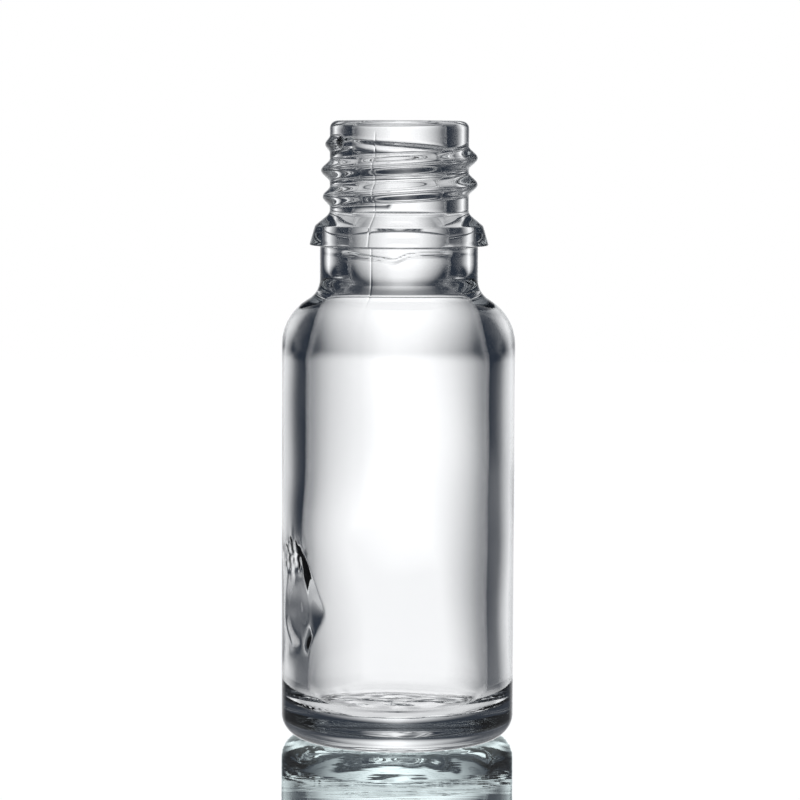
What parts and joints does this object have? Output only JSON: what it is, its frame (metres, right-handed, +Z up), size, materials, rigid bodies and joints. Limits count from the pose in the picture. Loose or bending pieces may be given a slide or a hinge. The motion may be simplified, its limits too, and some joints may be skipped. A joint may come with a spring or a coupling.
{
  "type": "glass dropper bottle",
  "caption": "Small round bottle of clear glass for drops, with a screw neck, a snap bead below the thread and an open plug bore.",
  "frame": {"origin": "middle of the ring that the bottle stands on", "axes": "+Z up along the bottle's axis, out of its mouth; -Y is the side seen in front"},
  "size_m": [0.0268, 0.0268, 0.0708],
  "materials": {
    "clear_glass": "fire polished, clear and colourless"
  },
  "bodies": {
    "root": {"bottle": "clear_glass"}
  },
  "joints": []
}
